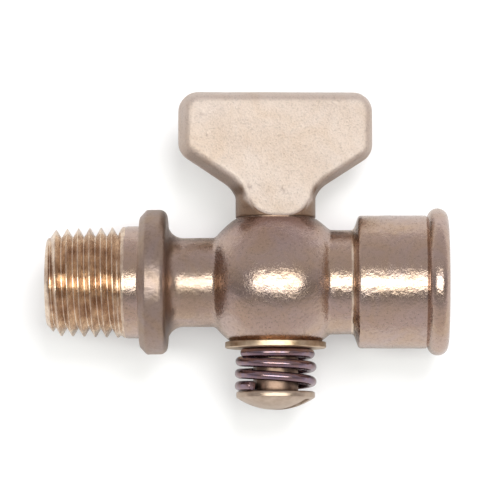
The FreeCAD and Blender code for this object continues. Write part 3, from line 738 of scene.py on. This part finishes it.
class PlugCockStage(bpy.types.PropertyGroup):
    """Camera and lights."""
    azimuth: FloatProperty(name="Camera azimuth", description="Bearing of the view",
                           default=math.radians(1.0), unit="ROTATION")
    elevation: FloatProperty(name="Camera elevation", description="Height angle of the view",
                             default=math.radians(-4.5), unit="ROTATION")
    aim: FloatVectorProperty(name="Camera aim", description="Point looked at, from the object's middle",
                             default=(-3.19 * MM, 0, 4.04 * MM), unit="LENGTH")
    distance: FloatProperty(name="Camera distance", description="Camera to the point looked at",
                            default=0.41, unit="LENGTH")
    view_width: FloatProperty(name="View width", description="Width seen at the pipe's axis",
                              default=0.0625, unit="LENGTH")
    key_watts: FloatProperty(name="Front light", default=2.1, subtype="POWER",
                             description="Power of the wide soft light by the camera")
    side_watts: FloatProperty(name="Shadow light", default=1.5, subtype="POWER",
                              description="Power of the light that casts the shadow")
    room_level: FloatProperty(name="Room level", description="Brightness of the grey room", default=1.0)


# Brightness of the room by height angle, from behind the object round below it, past the camera at
# zero and over it: dimmest just under the front light
ROOM = [(-180, 0.95), (-110, 0.95), (-75, 0.75), (-50, 0.68), (-38, 0.45), (-29, 0.15), (-16, 0.3),
        (14, 0.4), (30, 0.55), (60, 0.62), (85, 0.7), (120, 0.95), (180, 0.95)]
ROOM_TINT = (1, 0.95, 0.97)

# Dents in the handle's front face: sideways and up from the key on the pipe's axis, width and depth
DENTS = [(-3.7, 11.8, 0.2, 0.15), (0.6, 11.6, 0.17, 0.12), (-9.6, 20.9, 0.25, 0.07),
         (-8.9, 18.2, 0.2, 0.06), (-10.1, 17.0, 0.2, 0.07), (4.6, 15.1, 0.16, 0.05)]

# ------------------------------------------------------------- operators

class PLUGCOCK_OT_valve_body(bpy.types.Operator):
    """Build the forged body with its cut threads, bored socket and tapered seat"""
    bl_idname = "plugcock.valve_body"
    bl_label = "Valve Body"

    def execute(self, context):
        sizes = context.scene.plug_cock_sizes
        piece = grid_object("body_forging", body_points(sizes))
        bottom, ball = WASHER_HIGH.z, sizes.ball / MM
        clear = ball + 0.1
        seat_top = KEY_TOP + SEAT_GAP
        seat_bottom = seat_top - (BALL_TOP - bottom) * KEY_SLOPE
        seat = rounded_path([
            (0, -ball, 0), (clear, -ball, 0), (clear, bottom, 0), (seat_bottom, bottom, 0),
            (seat_top, BALL_TOP, 0), (clear, BALL_TOP, 0), (clear, ball + 0.2, 0), (0, ball + 0.2, 0),
        ], 20)
        carve(piece, grid_object("seat_cutter", on_key_axis(turned_points(seat, 192), 0)))
        smooth_shading(piece)
        look = context.scene.plug_cock_colours
        give_materials(piece, forged_brass(look), die_cut_brass(look))
        middles = np.empty(len(piece.data.polygons) * 3)
        piece.data.polygons.foreach_get("center", middles)
        middles = middles.reshape(-1, 3) / MM
        male_end, socket_depth, socket_radius = 9.8, 12, 7.3
        bored = np.hypot(middles[:, 1], middles[:, 2]) < socket_radius
        cut = (middles[:, 0] < male_end) | (bored & (middles[:, 0] > LENGTH - socket_depth))
        piece.data.polygons.foreach_set("material_index", cut.astype(np.int32))
        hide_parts("valve_body")
        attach(piece, "valve_body")
        return {"FINISHED"}


class PLUGCOCK_OT_handle(bpy.types.Operator):
    """Build the tee handle and its round stem, one soft-edged forging"""
    bl_idname = "plugcock.handle"
    bl_label = "Tee Handle"

    def execute(self, context):
        sizes = context.scene.plug_cock_sizes
        piece = grid_object("tee_handle", blade_points(sizes))
        stem_low, stem_top, stem, reach, facets = 8.0, 11.7, 5.0, 9, 128
        profile = rounded_path([(0, 6, 0), (stem, 6, 0), (stem, stem_top, 0.8), (0, stem_top, 0)], 0.25)
        carve(piece, grid_object("stem", turned_points(profile, facets)), "UNION")
        foot = block_points((-reach, -reach, 4), (reach, reach, stem_low))
        carve(piece, grid_object("foot_cutter", foot))
        # A ring that takes the blade's corners off where it meets the stem
        skin = stem + 0.02
        around_stem = rounded_path([
            (skin, 7, 0), (reach, 7, 0), (reach, 11.6, 0), (5.7, 11.2, 0.5), (skin, 10.2, 0.5)],
            0.25, closed=True)
        carve(piece, grid_object("corner_cutter", turned_points(around_stem, facets)))
        for side in (-1, 1):
            carve(piece, grid_object("scoop", tongue_points(sizes, side)))
        blend = piece.modifiers.new("forge", "REMESH")
        blend.mode = "VOXEL"
        blend.voxel_size = 0.13 * MM
        settle = piece.modifiers.new("settle", "SMOOTH")
        settle.factor = 0.5
        settle.iterations = 5
        apply_modifiers(piece)
        points = vertex_points(piece)
        swell = 0.012 * waves(points, 21, 1.2, 3.0) + 0.04 * waves(points, 22, 5.0, 12.0)
        points[:, 1] += swell * np.sign(points[:, 1]) * ease(points[:, 2], 8.8, 9.6)
        for x, z, width, depth in DENTS:
            dent(points, x, z, width, depth)
        points[:, 2] = np.maximum(points[:, 2], stem_low)
        # The stem is glossy, not blasted, and painted darker as shade, beside and behind its two flats,
        # whose half width grows with height
        off_flat = ease(np.abs(np.abs(points[:, 1]) - sizes.handle_thick / MM / 2), 0.1, 0.9)
        flat_half = np.clip(2.4 + (points[:, 2] - stem_low) * 0.88, 2.4, 4.3)
        round_side = np.maximum(off_flat, ease(np.abs(points[:, 0]) - flat_half, -0.3, 0.4))
        stem_only = round_side * (1 - ease(points[:, 2], 11.2, 12.4))
        piece.data.attributes.new("unblasted_shaded", "FLOAT", "POINT").data.foreach_set("value", stem_only)
        move_vertices(piece, on_key_axis(points, sizes.key_turn))
        smooth_shading(piece, 60)
        give_materials(piece, blasted_brass(context.scene.plug_cock_colours))
        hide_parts("plug_key")
        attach(piece, "key")
        return {"FINISHED"}


class PLUGCOCK_OT_key_plug(bpy.types.Operator):
    """Build the ground taper with its port and the flatted tail"""
    bl_idname = "plugcock.key_plug"
    bl_label = "Ground Key"

    def execute(self, context):
        sizes = context.scene.plug_cock_sizes
        top, top_radius, tail, flat, hole, hole_depth = 8.0, 4.914, 3.1, 2.6, 2.0, 5
        small = WASHER_HIGH.z + 0.35
        foot = KEY_TOP - (BALL_TOP - small) * KEY_SLOPE
        profile = rounded_path([
            (0, TAIL_END + hole_depth, 0), (hole, TAIL_END + hole_depth, 0), (hole, TAIL_END, 0),
            (tail, TAIL_END, 0.15), (tail, small, 0.1), (foot, small, 0.2), (top_radius, top, 0),
            (0, top, 0),
        ], 0.5)
        piece = grid_object("ground_key", turned_points(profile, 160))
        port, past = sizes.port / MM, 8
        bore = rounded_path([(0, -past, 0), (port, -past, 0), (port, past, 0), (0, past, 0)], 20)
        tool = turned_points(bore, 96)[..., [2, 1, 0]]
        carve(piece, grid_object("port_cutter", tool))
        below = TAIL_END - 1
        for low, high in (((flat, -4, below), (5, 4, small)), ((-5, -4, below), (-flat, 4, small))):
            carve(piece, grid_object("flat_cutter", block_points(low, high)))
        move_vertices(piece, on_key_axis(vertex_points(piece), sizes.key_turn))
        smooth_shading(piece)
        look = context.scene.plug_cock_colours
        brass = turned_brass("ground_brass_key", look.plug, look.plug_dark, roughness=0.38)
        give_materials(piece, brass)
        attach(piece, "key")
        return {"FINISHED"}


class PLUGCOCK_OT_washer(bpy.types.Operator):
    """Build the stamped washer with its two-flat hole"""
    bl_idname = "plugcock.washer"
    bl_label = "Keyed Washer"

    def execute(self, context):
        sizes = context.scene.plug_cock_sizes
        low, high, outer = WASHER_LOW.z, WASHER_HIGH.z, (WASHER_HIGH.x - WASHER_LOW.x) / 2
        around = np.linspace(0, 2 * math.pi, 192 + 1)
        hole_radius, hole_flat = 3.15, 2.65
        hole = np.minimum(hole_radius, hole_flat / np.maximum(np.abs(np.cos(around)), 1e-6))
        section = rounded_path([
            (0, low, 0.06), (1, low, 0.14), (1, high, 0.1), (0, high, 0.06)], 0.12, closed=True)
        across = np.clip(section[:, :1], 0, 1)
        radius = hole + (outer - hole) * across
        ring = polar(radius, around, section[:, 1:])
        piece = grid_object("stamped_washer", on_key_axis(ring, sizes.key_turn))
        smooth_shading(piece)
        look = context.scene.plug_cock_colours
        brass = turned_brass("stamped_brass_washer", look.washer, look.washer_dark,
                             roughness=0.34, ring_mm=0.2)
        give_materials(piece, brass)
        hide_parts("keyed_washer")
        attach(piece, "washer")
        return {"FINISHED"}


class PLUGCOCK_OT_spring(bpy.types.Operator):
    """Coil the left-hand compression spring between washer and screw"""
    bl_idname = "plugcock.spring"
    bl_label = "Spring"

    def execute(self, context):
        tube = wire_points(coil_centres(300), WIRE)
        piece = grid_object("coil_spring", tube + np.array([KEY_X, 0, 0]))
        smooth_shading(piece, 40)
        give_materials(piece, tempered_wire(context.scene.plug_cock_colours))
        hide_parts("compression_spring")
        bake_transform(piece)
        return {"FINISHED"}


class PLUGCOCK_OT_screw(bpy.types.Operator):
    """Turn the dome-headed screw and mill its slot"""
    bl_idname = "plugcock.screw"
    bl_label = "Retaining Screw"

    def execute(self, context):
        sizes = context.scene.plug_cock_sizes
        head, foot = (SCREW_HIGH.x - SCREW_LOW.x) / 2, SCREW_LOW.z - TAIL_END
        rim, shank, shank_length, slot_half, slot_depth = 0.75, 1.98, 4.6, 0.6, 1.3
        dome = (head**2 + (foot + rim) ** 2) / (-2 * (foot + rim))
        tilt = np.linspace(0, math.asin(head / dome) * 0.985, 26)
        bowl = np.stack([dome * np.sin(tilt), foot + dome * (1 - np.cos(tilt))], 1)
        side = rounded_path([
            tuple(bowl[-1]) + (0,), (head, -rim + 0.02, 0.12), (head, 0, 0.22), (shank, 0, 0),
            (shank, shank_length, 0.3), (0, shank_length, 0)], 0.2)
        profile = np.concatenate([bowl, side[1:]])
        piece = grid_object("dome_screw", turned_points(profile, 192))
        slot = block_points((-head - 1, -slot_half, foot - 1), (head + 1, slot_half, foot + slot_depth))
        carve(piece, grid_object("slot_cutter", slot))
        soften_edges(piece, 0.06)
        move_vertices(piece, on_key_axis(vertex_points(piece), sizes.slot_turn, TAIL_END))
        smooth_shading(piece)
        look = context.scene.plug_cock_colours
        brass = turned_brass("turned_brass_screw", look.screw, look.screw_dark, roughness=0.36)
        give_materials(piece, brass)
        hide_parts("retaining_screw")
        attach(piece, "key")
        return {"FINISHED"}


def view_back(azimuth, elevation):
    """The direction back towards something at a bearing and height angle, as a unit vector."""
    return Vector((math.sin(azimuth) * math.cos(elevation), -math.cos(azimuth) * math.cos(elevation),
                   math.sin(elevation)))


def soft_light(name, aim, bearing, distance, size, watts, colour):
    """A rectangular soft light facing what it lights, at a bearing and height angle in degrees."""
    lamp = bpy.data.lights.new(name, "AREA")
    lamp.shape = "RECTANGLE"
    lamp.size, lamp.size_y = size
    lamp.energy = watts
    lamp.color = colour
    light = bpy.data.objects.new(name, lamp)
    bpy.context.scene.collection.objects.link(light)
    back = view_back(*map(math.radians, bearing))
    light.location = aim + back * distance
    light.rotation_euler = back.to_track_quat("Z", "Y").to_euler()
    return light


def studio_room(level):
    """The room that the brass mirrors: mid grey, darker where the camera and its stand are, and paler
    to the sides. What the camera sees directly is plain white."""
    world = bpy.data.worlds.new("studio_room")
    bpy.context.scene.world = world
    world.use_nodes = True
    tree = world.node_tree
    tree.nodes.clear()
    way = node(tree, "TexCoord", "Generated")
    forth = node(tree, "SeparateXYZ", "Y", {"Vector": way})
    up = node(tree, "SeparateXYZ", "Z", {"Vector": way})
    front = node(tree, "Math", inputs={0: forth, 1: -1.0}, operation="MULTIPLY")
    angle = node(tree, "Math", inputs={0: up, 1: front}, operation="ARCTAN2")
    turn = node(tree, "MapRange", "Result", {"Value": angle, "From Min": -math.pi, "From Max": math.pi})
    shade = node(tree, "ValToRGB", "Color", {"Fac": turn}, [
        ((degrees + 180) / 360, [share * tint for tint in ROOM_TINT] + [1]) for degrees, share in ROOM])
    room = node(tree, "Background", inputs={"Color": shade, "Strength": level})
    plain = node(tree, "Background", inputs={"Color": grey(1), "Strength": 1.0})
    seen = node(tree, "LightPath", "Is Camera Ray")
    mixed = node(tree, "MixShader", inputs={0: seen, 1: room, 2: plain})
    node(tree, "OutputWorld", inputs={"Surface": mixed})


class PLUGCOCK_OT_stage(bpy.types.Operator):
    """Lay the object on white paper, with a camera above it and soft lights"""
    bl_idname = "plugcock.stage"
    bl_label = "Stage"

    def execute(self, context):
        stage = context.scene.plug_cock_stage
        context.scene.view_settings.view_transform = "Standard"
        centre = Vector((KEY_X * MM, 0, 0))
        aim = centre + Vector(stage.aim)
        back = view_back(stage.azimuth, stage.elevation)
        lens = bpy.data.cameras.new("camera")
        lens.sensor_width = 36
        lens.lens = lens.sensor_width * stage.distance / stage.view_width
        lens.clip_start = 0.01
        camera = bpy.data.objects.new("camera", lens)
        context.scene.collection.objects.link(camera)
        camera.location = aim + back * stage.distance
        camera.rotation_euler = back.to_track_quat("Z", "Y").to_euler()
        context.scene.camera = camera

        # The object lies on the paper with its ball, and is seen from above
        half_width = 400
        behind = BODY_HIGH.y + 0.05
        share = np.linspace(-half_width, half_width, 3)
        x, z = np.meshgrid(share + KEY_X, share, indexing="ij")
        paper = grid_object("paper_table", np.stack([x, np.full_like(x, behind), z], -1))
        mesh = paper.data
        if mesh.polygons[0].normal.y > 0:
            mesh.flip_normals()
        give_materials(paper, matte_paper(level=0.66, glow_level=0.27))

        soft_light("front_softbox", centre, bearing=(2, -4), distance=0.5, size=(0.72, 0.175),
                   watts=stage.key_watts, colour=(0.96, 1.0, 0.95))
        # No highlight of its own: it makes the shadow fall to the lower left
        shadow = soft_light("shadow_light", centre, bearing=(12, 21), distance=0.5, size=(0.2, 0.2),
                            watts=stage.side_watts, colour=(1.0, 0.98, 1.0))
        shadow.visible_glossy = False
        studio_room(stage.room_level)
        return {"FINISHED"}


class PLUGCOCK_PT_panel(bpy.types.Panel):
    """Lists the pieces and their sizes"""
    bl_idname = "PLUGCOCK_PT_panel"
    bl_label = "Plug Cock"
    bl_space_type = "VIEW_3D"
    bl_region_type = "UI"
    bl_category = "Plug Cock"

    def draw(self, context):
        column = self.layout.column()
        for step in STEPS:
            column.operator(step.bl_idname)
        scene = context.scene
        for group in (scene.plug_cock_sizes, scene.plug_cock_colours, scene.plug_cock_stage):
            for name in group.bl_rna.properties.keys():
                if name not in ("rna_type", "name"):
                    column.prop(group, name)


STEPS = (PLUGCOCK_OT_stage, PLUGCOCK_OT_valve_body, PLUGCOCK_OT_handle, PLUGCOCK_OT_key_plug,
         PLUGCOCK_OT_washer, PLUGCOCK_OT_spring, PLUGCOCK_OT_screw)
CLASSES = (PlugCockSizes, PlugCockColours, PlugCockStage) + STEPS + (PLUGCOCK_PT_panel,)


def register():
    for item in CLASSES:
        bpy.utils.register_class(item)
    bpy.types.Scene.plug_cock_sizes = PointerProperty(type=PlugCockSizes)
    bpy.types.Scene.plug_cock_colours = PointerProperty(type=PlugCockColours)
    bpy.types.Scene.plug_cock_stage = PointerProperty(type=PlugCockStage)


def unregister():
    del bpy.types.Scene.plug_cock_stage
    del bpy.types.Scene.plug_cock_colours
    del bpy.types.Scene.plug_cock_sizes
    for item in reversed(CLASSES):
        bpy.utils.unregister_class(item)


def main():
    register()
    for step in STEPS:
        group, name = step.bl_idname.split(".")
        getattr(getattr(bpy.ops, group), name)()


if __name__ == "__main__":
    main()
